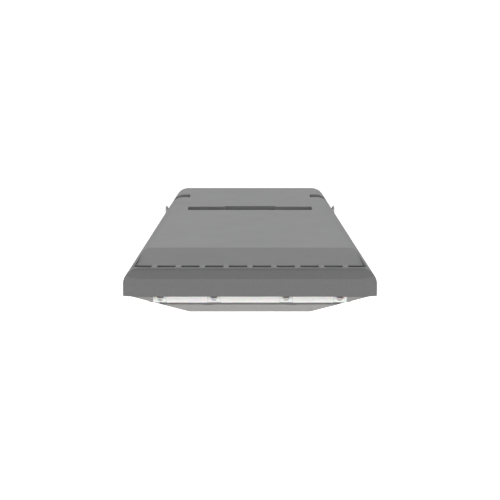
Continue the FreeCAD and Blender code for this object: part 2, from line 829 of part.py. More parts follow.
def screws(label, places, bottom, shank, **sizes):
    made = [screw(f"{label}_{index}", place, bottom(place) if callable(bottom) else bottom,
                  shank(place) if callable(shank) else shank, **sizes)
            for index, place in enumerate(places)]
    return keep(label, group(label, made))


# Gear door: the tub under the rear half, with its hinge nose, collar notch, latch lugs and seal

def gear_door(lower, lower_hollow):
    top = "band + door_gap"
    side = side_form("door_side", [(BULKHEAD[1] + " + hinge_gap", top), ("length + wall", top),
                                   ("length + wall", "rear_depth + wall"),
                                   ("hinge_back", "rear_depth + wall"),
                                   ("hinge_back", HINGE_DROP), (BULKHEAD[1] + " + hinge_gap", HINGE_DROP)])
    nose = rod("nose", "hinge_round", "2 * front_width", ("-front_width", "hinge_back", HINGE_DROP),
               "right")
    shape = common("door_block", lower, fuse("door_profile", side, nose))
    tub = cut("door_tub", shape, cut("door_hollow", lower_hollow, nose))
    lugs = []
    for name, sign in (("left", "-1"), ("right", "1")):
        for end, way in (("near", "-1"), ("far", "1")):
            inner = f"latch_back + {way} * (latch_width / 2 + lug_gap)"
            outer = f"latch_back + {way} * (latch_width / 2 + lug_gap + lug_thick)"
            reach = (outer, inner) if way == "-1" else (inner, outer)
            eye = rod(f"{name}_{end}_eye", "lug_round", "lug_thick",
                      (f"{sign} * ({LATCH_SIDE} + latch_pivot_out)", reach[0], "latch_pivot_drop"),
                      "rearward")
            root = block(f"{name}_{end}_root", span_of(sign, f"{LATCH_SIDE} - wall",
                                                       f"{LATCH_SIDE} + latch_pivot_out"),
                         reach, ("latch_pivot_drop - lug_round", "latch_pivot_drop + lug_round"))
            lugs += [eye, root]
    solid = fuse("door_solid", tub, *lugs)
    pin_way = rod("door_pin_way", "hinge_pin + pin_seat", "2 * front_width",
                  ("-front_width", "hinge_back", HINGE_DROP), "right")
    slots = []
    for name, sign in (("left", "-1"), ("right", "1")):
        x = (f"{sign} * knuckle_at - knuckle_width / 2 - hinge_gap",
             f"{sign} * knuckle_at + knuckle_width / 2 + hinge_gap")
        slots.append(block(name + "_slot", x,
                           ("hinge_back - 2 * hinge_round", "hinge_back + knuckle_round + 2 * hinge_gap"),
                           (f"{HINGE_DROP} - 2 * hinge_round", f"{HINGE_DROP} + 2 * hinge_round")))
    collar = "(arm_radius + socket_play + socket_wall + collar_gap)"
    opening = rod("collar_round", collar, "socket_length", ("0", "length - socket_length / 2", "top_rise"),
                  "rearward")
    throat = block("collar_throat", (f"-{collar}", collar), ("length - socket_length / 2", "length + wall"),
                   ("0", "top_rise"))
    pins = [rod(f"{name}_lug_way", "latch_pin + pin_seat", "2 * latch_width",
                (f"{sign} * ({LATCH_SIDE} + latch_pivot_out)", "latch_back - latch_width",
                 "latch_pivot_drop"),
                "rearward") for name, sign in (("left", "-1"), ("right", "1"))]
    return keep("gear_door", cut("gear_door", solid, pin_way, *slots, opening, throat, *pins))


def door_seal():
    """Rubber strip on the top edge of the door's two sides and rear wall."""
    body = doc.addObject("PartDesign::Body", "seal_sheet")
    height = "door_gap - seal_play"
    lift = z_at("band + door_gap")
    start = BULKHEAD[1] + " + hinge_round"
    pad(body, sketch_on(body, "XY_Plane", plan_outline("seal_inset", start, "length - seal_inset"), lift),
        height)
    inner = doc.addObject("PartDesign::Body", "seal_window")
    window = plan_outline("wall - seal_inset", BULKHEAD[0], "length - wall + seal_inset")
    pad(inner, sketch_on(inner, "XY_Plane", window, z_at("2 * band")), "2 * band")
    collar = "(arm_radius + socket_play + socket_wall + collar_gap)"
    throat = block("seal_throat", (f"-{collar}", collar), ("length - socket_length / 2", "length + wall"),
                   ("0", "2 * band"))
    return keep("door_seal", cut("door_seal", body, inner, throat))


def hinge_rod():
    reach = f"({half('hinge_back')} - hinge_pin_end - (rear_depth - band) * tan(side_draft) / 2)"
    return keep("hinge_rod", rod("hinge_rod", "hinge_pin", f"2 * {reach}",
                                 (f"-{reach}", "hinge_back", HINGE_DROP),
                                 "right"))


# Side latches: a bent stainless clip that stands on the door's lugs and rests its nose on the keeper

def latch(label, sign):
    inner = f"({LATCH_SIDE} + latch_off)"
    outer = f"({LATCH_SIDE} + latch_off + latch_sheet)"
    nose_under = "(keeper_drop - nose_gap)"
    nose_over = "(keeper_drop - nose_gap - latch_sheet)"
    knee = "(latch_top_drop + latch_flare)"
    outline = [
        (inner, "latch_pivot_drop"),
        (inner, nose_under),
        (f"{LATCH_SIDE} - nose_reach", nose_under),
        (f"{LATCH_SIDE} - nose_reach", nose_over),
        (inner, nose_over),
        (inner, knee),
        (f"{LATCH_SIDE} + latch_flare - latch_sheet", "latch_top_drop"),
        (f"{LATCH_SIDE} + latch_flare", "latch_top_drop"),
        (outer, knee),
        (outer, "latch_pivot_drop"),
    ]
    corners = [(f"{sign} * ({x})", z_at(drop)) for x, drop in outline]
    strap = prism(label + "_strap", "XZ_Plane", corners, "latch_width", "length - latch_back")
    centre = (f"{sign} * ({LATCH_SIDE} + latch_pivot_out)", "latch_back - latch_width / 2",
              "latch_pivot_drop")
    barrel = rod(label + "_barrel", "latch_barrel", "latch_width", centre, "rearward")
    way = rod(label + "_way", "latch_pin + pin_play", "latch_width", centre, "rearward")
    return keep(label, cut(label, fuse(label + "_blank", strap, barrel), way))


def latch_pins():
    reach = "(latch_width / 2 + lug_gap + lug_thick)"
    pins = [rod(f"{name}_latch_pin", "latch_pin", f"2 * {reach}",
                (f"{sign} * ({LATCH_SIDE} + latch_pivot_out)", f"latch_back - {reach}", "latch_pivot_drop"),
                "rearward")
            for name, sign in (("left", "-1"), ("right", "1"))]
    return keep("latch_pins", group("latch_pins", pins))


# Gear: plate, driver, surge protector, terminal block and cord clamp

PLATE_UNDER = "(plate_drop + plate_thick)"
DRIVER_REAR = "(driver_front + driver_depth)"


def driver_screw_places():
    return [(f"{sign} * (driver_half + driver_ear / 2)", "driver_front + driver_depth / 2")
            for sign in ("-1", "1")]


def surge_screw_places():
    return [("surge_x - screw_head - block_step / 4", "device_front + surge_side / 2")]


def block_screw_places():
    return [(f"block_x {way}", "device_front + block_depth / 2")
            for way in ("- clamp_foot / 2", "+ block_width + clamp_foot / 2")]


def clamp_screw_places():
    return [(f"clamp_x + {foot}", "device_front + clamp_depth / 2")
            for foot in ("clamp_foot / 2", "clamp_width - clamp_foot / 2")]


def gear_screw_places():
    return driver_screw_places() + block_screw_places() + clamp_screw_places()


def gear_plate():
    plate = block("plate", ("-plate_half", "plate_half"), ("plate_front", "plate_rear"),
                  ("plate_drop", PLATE_UNDER))
    ways = [rod(f"plate_way_{index}", "screw_radius + hole_play", "4 * plate_thick",
                (x, back, "plate_drop + 2 * plate_thick"))
            for index, (x, back) in enumerate(PLATE_POSTS)]
    small = [rod(f"gear_way_{index}", "small_radius + hole_play", "4 * plate_thick",
                 (x, back, "plate_drop + 2 * plate_thick"))
             for index, (x, back) in enumerate(gear_screw_places())]
    return keep("gear_plate", cut("gear_plate", plate, *ways, *small))


def with_ways(name, solid, places):
    return cut(name, solid, *[rod(f"{name}_way_{index}", "small_radius + hole_play", "rear_depth",
                                  (x, back, "rear_depth"))
                              for index, (x, back) in enumerate(places)])


def driver():
    can = block("driver_can", ("-driver_half", "driver_half"), ("driver_front", DRIVER_REAR),
                (PLATE_UNDER, f"{PLATE_UNDER} + driver_height"))
    ears = block("driver_ears", ("-driver_half - driver_ear", "driver_half + driver_ear"),
                 ("driver_front + driver_depth / 4", f"{DRIVER_REAR} - driver_depth / 4"),
                 (PLATE_UNDER, f"{PLATE_UNDER} + driver_ear_thick"))
    return keep("driver", with_ways("driver", fuse("driver_blank", can, ears), driver_screw_places()))


def surge_protector():
    return keep("surge_protector", block("surge_protector", ("surge_x", "surge_x + surge_side"),
                                         ("device_front", "device_front + surge_side"),
                                         (PLATE_UNDER, f"{PLATE_UNDER} + surge_height")))


def terminal_block():
    """Stepped insulating block with a foot at each end and three wire mouths on its rear face."""
    body = block("terminal_body", ("block_x", "block_x + block_width"),
                 ("device_front", "device_front + block_depth"),
                 (PLATE_UNDER, f"{PLATE_UNDER} + block_height"))
    step = block("terminal_step", ("block_x - wall", "block_x + block_width + wall"),
                 ("device_front + block_depth - block_step", "device_front + 2 * block_depth"),
                 (f"{PLATE_UNDER} + block_height - block_step / 2", f"{PLATE_UNDER} + 2 * block_height"))
    feet = block("terminal_feet", ("block_x - clamp_foot", "block_x + block_width + clamp_foot"),
                 ("device_front + block_depth / 4", "device_front + block_depth * 3 / 4"),
                 (PLATE_UNDER, f"{PLATE_UNDER} + driver_ear_thick"))
    mouths = [rod(f"wire_mouth_{index}", "mouth_radius", "block_depth / 2",
                  (f"block_x + block_width * {index * 2 + 1} / 6", "device_front + block_depth - mouth_in",
                   f"{PLATE_UNDER} + block_height / 2"), "rearward") for index in range(3)]
    blank = fuse("terminal_blank", cut("terminal_stepped", body, step), feet)
    return keep("terminal_block", with_ways("terminal_block", cut("terminal_mouths", blank, *mouths),
                                            block_screw_places()))


def cord_clamp():
    """Bridge that holds the supply cord down, arched over a round channel."""
    bar = block("clamp_bar", ("clamp_x", "clamp_x + clamp_width"),
                ("device_front", "device_front + clamp_depth"),
                (PLATE_UNDER, f"{PLATE_UNDER} + clamp_height + clamp_foot"))
    step = [block(f"clamp_step_{index}", x, ("device_front - wall", "device_front + clamp_depth + wall"),
                  (f"{PLATE_UNDER} + clamp_height", f"{PLATE_UNDER} + 2 * clamp_height + clamp_foot"))
            for index, x in enumerate((("clamp_x - wall", "clamp_x + clamp_foot"),
                                       ("clamp_x + clamp_width - clamp_foot",
                                        "clamp_x + clamp_width + wall")))]
    arch = rod("clamp_arch", "clamp_height + clamp_foot - wall", "3 * clamp_depth",
               ("clamp_x + clamp_width / 2", "device_front - clamp_depth", PLATE_UNDER), "rearward")
    return keep("cord_clamp", with_ways("cord_clamp", cut("clamp_shaped", bar, *step, arch),
                                        clamp_screw_places()))


def gear_screws():
    feet = [(place, f"{PLATE_UNDER} + driver_ear_thick")
            for place in driver_screw_places() + block_screw_places()]
    feet += [(place, f"{PLATE_UNDER} + clamp_height") for place in clamp_screw_places()]
    made = [screw(f"gear_screw_{index}", place, drop, f"{drop} - plate_drop + plate_thick", "small_radius",
                  "small_head", "small_head_height") for index, (place, drop) in enumerate(feet)]
    return keep("gear_screws", group("gear_screws", made))


# Arm bolts, lock nuts, grommet, vent and earth screw

def bolt_places():
    return [("0", f"(length - {back})") for back in ("bolt_first", "bolt_second")]


PAD_UNDER = "(top_rise + arm_radius + socket_play + bolt_pad)"


def arm_bolts():
    made = []
    for index, (x, back) in enumerate(bolt_places()):
        head_at = f"({PAD_UNDER} + nut_height + bolt_travel)"
        stem = rod(f"bolt_stem_{index}", "bolt_radius",
                   f"{head_at} - (top_rise + arm_radius + socket_play + hole_play)",
                   (x, back, head_at))
        head = hexagon(f"bolt_hex_{index}", "bolt_head", "nut_height", (x, back, f"{head_at} + nut_height"))
        made.append(fuse(f"arm_bolt_{index}", stem, head))
    return keep("arm_bolts", group("arm_bolts", made))


def lock_nuts():
    made = []
    for index, (x, back) in enumerate(bolt_places()):
        blank = hexagon(f"nut_blank_{index}", "bolt_head", "nut_height",
                        (x, back, f"{PAD_UNDER} + nut_height"))
        way = rod(f"nut_way_{index}", "bolt_radius + hole_play", "3 * nut_height",
                  (x, back, f"{PAD_UNDER} + 2 * nut_height"))
        made.append(cut(f"lock_nut_{index}", blank, way))
    return keep("lock_nuts", group("lock_nuts", made))


def lead_grommet():
    neck = rod("grommet_neck", "grommet_radius - hole_play", "3 * wall",
               ("grommet_x", f"{BULKHEAD[0]} - wall", "grommet_drop"),
               "rearward")
    near = rod("grommet_near", "grommet_radius + wall / 2", "wall / 2",
               ("grommet_x", f"{BULKHEAD[0]} - wall / 2", "grommet_drop"), "rearward")
    far = rod("grommet_far", "grommet_radius + wall / 2", "wall / 2",
              ("grommet_x", BULKHEAD[1], "grommet_drop"), "rearward")
    way = rod("grommet_way", "grommet_radius / 2", "8 * wall",
              ("grommet_x", f"{BULKHEAD[0]} - 3 * wall", "grommet_drop"),
              "rearward")
    return keep("lead_grommet", cut("lead_grommet", fuse("grommet_blank", neck, near, far), way))


def breather_vent():
    stem = rod("vent_stem", "vent_radius - hole_play", "2 * wall", ("vent_x", BULKHEAD[0], "2 * band"),
               "rearward")
    cap = rod("vent_cap", "vent_head", "vent_head_height",
              ("vent_x", f"{BULKHEAD[0]} - vent_head_height", "2 * band"),
              "rearward")
    return keep("breather_vent", fuse("breather_vent", stem, cap))


def build():
    lower = lower_form("lower_form", "0", "foot_round")
    lower_hollow = lower_form("lower_hollow", "wall", "foot_round - wall")
    housing()
    led_frame(lower, lower_hollow)
    led_tray()
    led_board()
    led_emitters()
    lens_cover()
    keep("lens_seal", seal_ring("lens_seal"))
    screws("lens_screws", lens_screw_places(), "band + flange_thick", "flange_thick + tray_thick")
    screws("tray_screws", tray_screw_places(), "band", "tray_thick + screw_grip")
    screws("frame_screws", frame_screw_places(),
           lambda place: f"({under(place[1])} - screw_head_height - wall / 4)",
           lambda place: f"({under(place[1])} - screw_head_height - wall / 4 - band + tray_thick + screw_grip)")
    screws("board_screws", board_screw_places(), "band + board_thick", "board_thick + small_grip",
           radius="small_radius", head="small_head", head_height="small_head_height")
    gear_door(lower, lower_hollow)
    door_seal()
    hinge_rod()
    latch("left_latch", "-1")
    latch("right_latch", "1")
    latch_pins()
    gear_plate()
    screws("plate_screws", PLATE_POSTS, PLATE_UNDER, "plate_thick + screw_grip")
    driver()
    surge_protector()
    terminal_block()
    cord_clamp()
    gear_screws()
    arm_bolts()
    lock_nuts()
    lead_grommet()
    breather_vent()
    screws("earth_screw", [("earth_x", "earth_back")], "band - wall", "screw_grip")


build()
doc.recompute()
for item in doc.Objects:
    if "Invalid" in item.State or "Error" in item.State:
        raise RuntimeError(f"{item.Name} failed: {item.State}")
os.makedirs("parts", exist_ok=True)
for item in SUBPARTS:
    if item.Shape.isNull() or not item.Shape.isValid():
        raise RuntimeError(f"{item.Label} has no valid shape")
for item in SUBPARTS:
    item.Shape.exportStep(f"parts/{item.Label}.step")
    print(item.Label, len(item.Shape.Solids), round(item.Shape.Volume / 1000, 1), "cm3")
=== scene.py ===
"""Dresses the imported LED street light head: finishes, fastener and emitter detail, light and camera."""

import json
import math

import bmesh
import bpy
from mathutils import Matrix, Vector


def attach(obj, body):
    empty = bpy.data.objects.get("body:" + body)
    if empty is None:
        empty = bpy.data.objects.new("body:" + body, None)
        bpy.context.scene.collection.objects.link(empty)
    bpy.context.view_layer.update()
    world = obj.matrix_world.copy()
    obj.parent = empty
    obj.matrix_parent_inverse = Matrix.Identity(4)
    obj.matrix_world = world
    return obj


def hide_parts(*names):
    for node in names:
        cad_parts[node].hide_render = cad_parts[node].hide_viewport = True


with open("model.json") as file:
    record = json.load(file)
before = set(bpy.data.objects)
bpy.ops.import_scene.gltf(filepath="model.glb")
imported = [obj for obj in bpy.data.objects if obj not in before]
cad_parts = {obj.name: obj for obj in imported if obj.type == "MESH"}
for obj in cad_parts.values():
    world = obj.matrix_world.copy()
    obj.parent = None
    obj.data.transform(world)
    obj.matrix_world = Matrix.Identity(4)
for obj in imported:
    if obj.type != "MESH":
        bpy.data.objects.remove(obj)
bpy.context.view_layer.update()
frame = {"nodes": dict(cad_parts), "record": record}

MM = 0.001
FULL_TURN = 2 * math.pi
WHITE = (1, 1, 1, 1)
BLACK = (0, 0, 0, 1)

# Camera, fitted to the photograph: place in metres, tilt in degrees, lens in millimetres
CAMERA_PLACE = (0.0, -2.9454, 0.6142)
CAMERA_DOWN = 12.715
CAMERA_LENS = 136.74

# How far the camera sees, in metres
CAMERA_REACH = 100.0

# Studio: lengths in metres, and levels of light where 1 shows as white
HEAD_MIDDLE = (0, -0.28, 0)
FLOOR_DROP = 0.75
FLOOR_HALF = 14.0
FLOOR_COLOUR = (0.88, 0.86, 0.84, 1)
FLOOR_ROUGHNESS = 0.9
FLOOR_LIFT = 0.85
WARM_REFLECTION = (0.93, 0.895, 0.86, 1)
HORIZON_LEVEL = 0.80
ZENITH_LEVEL = 0.12

# Windows of a direction's height, which is 0 at the horizon and 1 overhead
SKY_FADE = (0.0, 0.7)
LOW_REFLECTION = (0.25, 0.5)

# Patterns of the finishes: a scale is in cells per metre, a window is the span of a value that is used,
# and a share is the weight of the first of two patterns
GRAIN_DETAIL = 3.0
GRAIN_ROUGHNESS = 0.6
GRAIN_SHARE = 0.65
GRAIN_WINDOW = (0.33, 0.67)
FINER_TIMES = 2.7
FINER_DETAIL = 1.0
CLOUD_SCALE = 9.0
CLOUD_WINDOW = (0.3, 0.7)
STREAK_DETAIL = 3.0
STREAK_ROUGHNESS = 0.6
STREAK_SHARE = 0.7
STREAK_WINDOW = (0.3, 0.7)
STAIN_SCALE = 60.0
STAIN_WINDOW = (0.35, 0.75)
FACET_SHARE = 0.75
HAZE_SCALE = 700.0
HAZE_WINDOW = (0.3, 0.7)
DUST_SCALE = 22.0
DUST_DETAIL = 4.0
DUST_ROUGHNESS = 0.6
DUST_WINDOW = (0.38, 0.72)
DUST_FACING = (0.5, 1.0)

# Coarser coat in front of the crease on the top, darkened by painted shade except on faces that look sideways
NOSE_LINE = -430 * MM
NOSE_BLEND = 3 * MM
NOSE_GRAINS = 330.0
NOSE_WINDOW = (0.35, 0.65)
# Painted shade on the nose: how far its colour is darkened, and the random swing of that darkening
NOSE_PAINTED_SHADE = 0.15
NOSE_PAINTED_SHADE_SWING = 0.1
NOSE_ROUGHER = 0.06
NOSE_SWELL = 2.4
NOSE_SIDEWAYS = (0.25, 0.75)

# Lips across the lens's front screw pockets
LIP_ROW_REACH = 15 * MM
LIP_TOP_DROP = 3.0 * MM
LIP_BOTTOM_DROP = 9.6 * MM
LIP_SET_BACK = 0.3 * MM
LIP_THICK = 1.0 * MM
LIP_HALF = 8.2 * MM
NOTCH_HALF = 5.6 * MM
NOTCH_FOOT = 2.4 * MM
NOTCH_DEPTH = 4.2 * MM

# Cheeks of the side latches
CHEEK_FOOT = 2 * MM
CHEEK_SHOULDER = 13 * MM
CHEEK_TOE = 2 * MM
CHEEK_THICK = 1.0 * MM
CHEEK_MARGIN = 0.3 * MM
TAB_RISE = 7 * MM

# Fasteners: a share is a part of one of the head's own lengths
TURN_SIDES = 36
HEX_SIDES = 6
RINGS_PER_TURN = 4
SCREW_PITCH = 1.0 * MM
BOLT_PITCH = 1.25 * MM
THREAD_DEPTH = 0.32 * MM
TIP_CHAMFER = 0.6 * MM
TIP_SLOPE = 0.8
HEAD_EDGE_SHARE = 0.95
HEAD_OVER_SHANK = 1.2
SEAT_MARGIN = 0.2 * MM
SEAT_CHAMFER = 0.15 * MM
NECK = 0.4 * MM
SCREW_THREAD_START = 0.5 * MM
BOLT_THREAD_START = 0.3 * MM
BOLT_OVERLAP = 0.2 * MM
BOLT_TIP = 1 * MM
DOME_PARTS = 12
DOME_FIRST_PART = 3
DOME_RISE_SHARE = 0.55
SOCKET_SHARE = 0.46
SOCKET_DEPTH_SHARE = 0.6
SOCKET_FLOOR_SHARE = 0.9
SOCKET_MOUTH_SHARE = 0.6
SOCKET_TOLERANCE = 1.001
HEX_CHAMFER_SHARE = 0.6
HEX_FACE_SHARE = 0.97
HEX_CORNER_SHARE = 0.98

# Emitters: shares of the package's width or height, and the number of faces around and up a full sphere
BASE_SHARE = 0.45
BASE_BEVEL_SHARE = 0.05
PHOSPHOR_SHARE = 0.42
PHOSPHOR_AROUND = 20
PHOSPHOR_UP = 10

# Tolerances for points that count as one, or as lying on a shank, and the digits of a place in metres
CAD_MERGE = 0.001 * MM
SEAM_MERGE = 0.0001 * MM
SCREW_MERGE = 0.005 * MM
SHANK_TOLERANCE = 0.01 * MM
PLACE_DIGITS = 4

# Edges that bend by more than this stay sharp in the shading
SHARP_ANGLE = math.radians(32)

# A point on the Z axis, to measure distances from that axis
AXIS = Vector((0, 0, 0))


# Node helpers

def add_group(name, inputs, outputs):
    """A shader node group with named inputs, each with its kind and start value, and named outputs."""
    tree = bpy.data.node_groups.new(name, "ShaderNodeTree")
    for label, kind, start in inputs:
        socket = tree.interface.new_socket(label, in_out="INPUT", socket_type=kind)
        socket.default_value = start
    for label, kind in outputs:
        tree.interface.new_socket(label, in_out="OUTPUT", socket_type=kind)
    given = tree.nodes.new("NodeGroupInput")
    result = tree.nodes.new("NodeGroupOutput")
    return tree, given, result


def add_node(tree, kind, links=(), **settings):
    """A node with its settings, and with each source linked to or written on an input, by name or number."""
    made = tree.nodes.new(kind)
    for label, setting in settings.items():
        setattr(made, label, setting)
    for target, source in links:
        if isinstance(source, bpy.types.NodeSocket):
            tree.links.new(source, made.inputs[target])
        else:
            made.inputs[target].default_value = source
    return made


def own_place(tree):
    """Object coordinates of the shaded point."""
    return add_node(tree, "ShaderNodeTexCoord").outputs["Object"]


def part_of(tree, vector, axis):
    """One of X, Y and Z of a vector."""
    return add_node(tree, "ShaderNodeSeparateXYZ", [(0, vector)]).outputs[axis]


def noise(tree, vector, scale, detail=2.0, roughness=0.5):
    links = [("Vector", vector), ("Scale", scale), ("Detail", detail), ("Roughness", roughness)]
    return add_node(tree, "ShaderNodeTexNoise", links).outputs["Fac"]


def spread(tree, source, window, to_low=0.0, to_high=1.0):
    """Maps a value from a window of low and high to to_low and to_high, clamped."""
    low, high = window
    links = [("Value", source), ("From Min", low), ("From Max", high)]
    links += [("To Min", to_low), ("To Max", to_high)]
    return add_node(tree, "ShaderNodeMapRange", links).outputs["Result"]


def maths(tree, operation, first, second):
    return add_node(tree, "ShaderNodeMath", [(0, first), (1, second)], operation=operation).outputs[0]


def weigh(tree, first, second, share):
    """A share of the first value and the rest of the second."""
    more = maths(tree, "MULTIPLY", first, share)
    rest = maths(tree, "MULTIPLY", second, 1 - share)
    return maths(tree, "ADD", more, rest)


def blend_colour(tree, share, first, second):
    """Mixes two colours. A Mix node has its colours at inputs 6 and 7 and at output 2."""
    links = [(0, share), (6, first), (7, second)]
    return add_node(tree, "ShaderNodeMix", links, data_type="RGBA").outputs[2]


def grey(level, warm=0.0):
    return (level * (1 + warm), level, level * (1 - warm), 1)


# Finish groups

COLOUR = "NodeSocketColor"
NUMBER = "NodeSocketFloat"
VECTOR = "NodeSocketVector"


def add_finish_group(name, *own_inputs):
    """A group with the inputs and outputs that every finish has, and with inputs of its own."""
    inputs = [("Dark", COLOUR, grey(0.4)), ("Light", COLOUR, grey(0.6)), ("Smooth", NUMBER, 0.3),
              ("Rough", NUMBER, 0.5)]
    outputs = [("Colour", COLOUR), ("Roughness", NUMBER), ("Height", NUMBER)]
    return add_group(name, inputs + list(own_inputs), outputs)


def end_finish(tree, given, result, share, height, dark_end="Smooth", light_end="Rough"):
    """Colour from Dark to Light and roughness between its two ends, both by one share, and the height."""
    colour = blend_colour(tree, share, given.outputs["Dark"], given.outputs["Light"])
    rough = spread(tree, share, (0.0, 1.0), given.outputs[dark_end], given.outputs[light_end])
    tree.links.new(colour, result.inputs["Colour"])
    tree.links.new(rough, result.inputs["Roughness"])
    tree.links.new(height, result.inputs["Height"])


def make_grain_group():
    """The speckle and slight cloudiness of a powder coat, a moulded skin or rubber."""
    tree, given, result = add_finish_group("grain", ("Grains", NUMBER, 900.0), ("Cloud", NUMBER, 0.2))
    place = own_place(tree)
    coarse = noise(tree, place, given.outputs["Grains"], GRAIN_DETAIL, GRAIN_ROUGHNESS)
    finer = maths(tree, "MULTIPLY", given.outputs["Grains"], FINER_TIMES)
    grains = weigh(tree, coarse, noise(tree, place, finer, FINER_DETAIL), GRAIN_SHARE)
    speckle = spread(tree, grains, GRAIN_WINDOW)
    clouds = spread(tree, noise(tree, place, CLOUD_SCALE), CLOUD_WINDOW)
    cloud = maths(tree, "MULTIPLY", clouds, given.outputs["Cloud"])
    keep = maths(tree, "SUBTRACT", 1.0, given.outputs["Cloud"])
    share = maths(tree, "ADD", maths(tree, "MULTIPLY", speckle, keep), cloud)
    end_finish(tree, given, result, share, grains)
    return tree


def make_streak_group():
    """The fine parallel lines of brushed or rolled metal, drawn out along the axis with the small scale."""
    tree, given, result = add_finish_group("streaks", ("Scales", VECTOR, (2000.0, 2000.0, 60.0)))
    place = own_place(tree)
    links = [(0, place), (1, given.outputs["Scales"])]
    drawn = add_node(tree, "ShaderNodeVectorMath", links, operation="MULTIPLY").outputs[0]
    lines = spread(tree, noise(tree, drawn, 1.0, STREAK_DETAIL, STREAK_ROUGHNESS), STREAK_WINDOW)
    stain = spread(tree, noise(tree, place, STAIN_SCALE), STAIN_WINDOW)
    share = weigh(tree, lines, stain, STREAK_SHARE)
    end_finish(tree, given, result, share, lines, dark_end="Rough", light_end="Smooth")
    return tree


def make_spangle_group():
    """The crystal facets of zinc on sheet steel."""
    tree, given, result = add_finish_group("spangle", ("Facets", NUMBER, 220.0))
    place = own_place(tree)
    links = [("Vector", place), ("Scale", given.outputs["Facets"])]
    facets = add_node(tree, "ShaderNodeTexVoronoi", links)
    tone = add_node(tree, "ShaderNodeSeparateColor", [(0, facets.outputs["Color"])]).outputs[0]
    haze = spread(tree, noise(tree, place, HAZE_SCALE), HAZE_WINDOW)
    end_finish(tree, given, result, weigh(tree, tone, haze, FACET_SHARE), haze)
    return tree


def make_dust_group():
    """Pale settled dust on faces that look up, broken up by noise: a mask between 0 and 1."""
    tree, given, result = add_group("dust", [("Amount", NUMBER, 0.2)], [("Mask", NUMBER)])
    facing = add_node(tree, "ShaderNodeNewGeometry").outputs["Normal"]
    top = spread(tree, part_of(tree, facing, "Z"), DUST_FACING)
    settled = noise(tree, own_place(tree), DUST_SCALE, DUST_DETAIL, DUST_ROUGHNESS)
    patches = spread(tree, settled, DUST_WINDOW)
    mask = maths(tree, "MULTIPLY", maths(tree, "MULTIPLY", top, patches), given.outputs["Amount"])
    tree.links.new(mask, result.inputs["Mask"])
    return tree


def make_nose_coat_and_shade_group():
    """The coarser, rougher coat of the nose, over a finish's height and roughness, and painted shade that
    darkens it except where it faces sideways.
    """
    inputs = [("Finish", NUMBER, 0.5), ("Rough", NUMBER, 0.5)]
    outputs = [("Painted shade", NUMBER), ("Roughness", NUMBER), ("Height", NUMBER)]
    tree, given, result = add_group("nose_coat_and_shade", inputs, outputs)
    place = own_place(tree)
    crease = (NOSE_LINE - NOSE_BLEND, NOSE_LINE + NOSE_BLEND)
    ahead = spread(tree, part_of(tree, place, "Y"), crease, 1.0, 0.0)
    facing = add_node(tree, "ShaderNodeNewGeometry").outputs["Normal"]
    sideways = part_of(tree, facing, "X")
    off_the_sides = spread(tree, maths(tree, "MULTIPLY", sideways, sideways), NOSE_SIDEWAYS, 1.0, 0.0)
    mask = maths(tree, "MULTIPLY", ahead, off_the_sides)
    coarse = noise(tree, place, NOSE_GRAINS)
    # Painted shade: the share of black mixed into the nose's colour, swinging with the coarse grain
    least = (1 - NOSE_PAINTED_SHADE_SWING) * NOSE_PAINTED_SHADE
    most = (1 + NOSE_PAINTED_SHADE_SWING) * NOSE_PAINTED_SHADE
    mottled_shade = spread(tree, coarse, NOSE_WINDOW, least, most)
    rougher = maths(tree, "MULTIPLY", mask, NOSE_ROUGHER)
    swell = maths(tree, "MULTIPLY", maths(tree, "MULTIPLY", mask, coarse), NOSE_SWELL)
    tree.links.new(maths(tree, "MULTIPLY", mask, mottled_shade), result.inputs["Painted shade"])
    tree.links.new(maths(tree, "ADD", given.outputs["Rough"], rougher), result.inputs["Roughness"])
    tree.links.new(maths(tree, "ADD", given.outputs["Finish"], swell), result.inputs["Height"])
    return tree


GRAIN = make_grain_group()
STREAKS = make_streak_group()
SPANGLE = make_spangle_group()
DUST = make_dust_group()
NOSE = make_nose_coat_and_shade_group()


# Materials

def new_material(name, group, inputs, bump, dust=None, nose=False, **shader):
    """A material on the Principled shader, with its colour, roughness and bump from a finish group.

    bump is a strength and a depth, dust an amount and a colour, and the rest are values of the shader.
    """
    made = bpy.data.materials.new(name)
    made.use_nodes = True
    tree = made.node_tree
    principled = tree.nodes["Principled BSDF"]
    finish = add_node(tree, "ShaderNodeGroup", inputs.items(), node_tree=group)
    colour = finish.outputs["Colour"]
    height = finish.outputs["Height"]
    rough = finish.outputs["Roughness"]
    if dust:
        amount, dust_colour = dust
        settled = add_node(tree, "ShaderNodeGroup", node_tree=DUST)
        settled.inputs["Amount"].default_value = amount
        colour = blend_colour(tree, settled.outputs["Mask"], colour, dust_colour)
    if nose:
        coat_and_shade = add_node(tree, "ShaderNodeGroup", node_tree=NOSE)
        tree.links.new(height, coat_and_shade.inputs["Finish"])
        tree.links.new(rough, coat_and_shade.inputs["Rough"])
        # Painted shade darkens the nose's colour toward black
        colour = blend_colour(tree, coat_and_shade.outputs["Painted shade"], colour, BLACK)
        height = coat_and_shade.outputs["Height"]
        rough = coat_and_shade.outputs["Roughness"]
    tree.links.new(colour, principled.inputs["Base Color"])
    tree.links.new(rough, principled.inputs["Roughness"])
    for label, setting in shader.items():
        principled.inputs[label.replace("_", " ")].default_value = setting
    strength, depth = bump
    links = [("Height", height), ("Strength", strength), ("Distance", depth)]
    raised = add_node(tree, "ShaderNodeBump", links)
    tree.links.new(raised.outputs["Normal"], principled.inputs["Normal"])
    return made


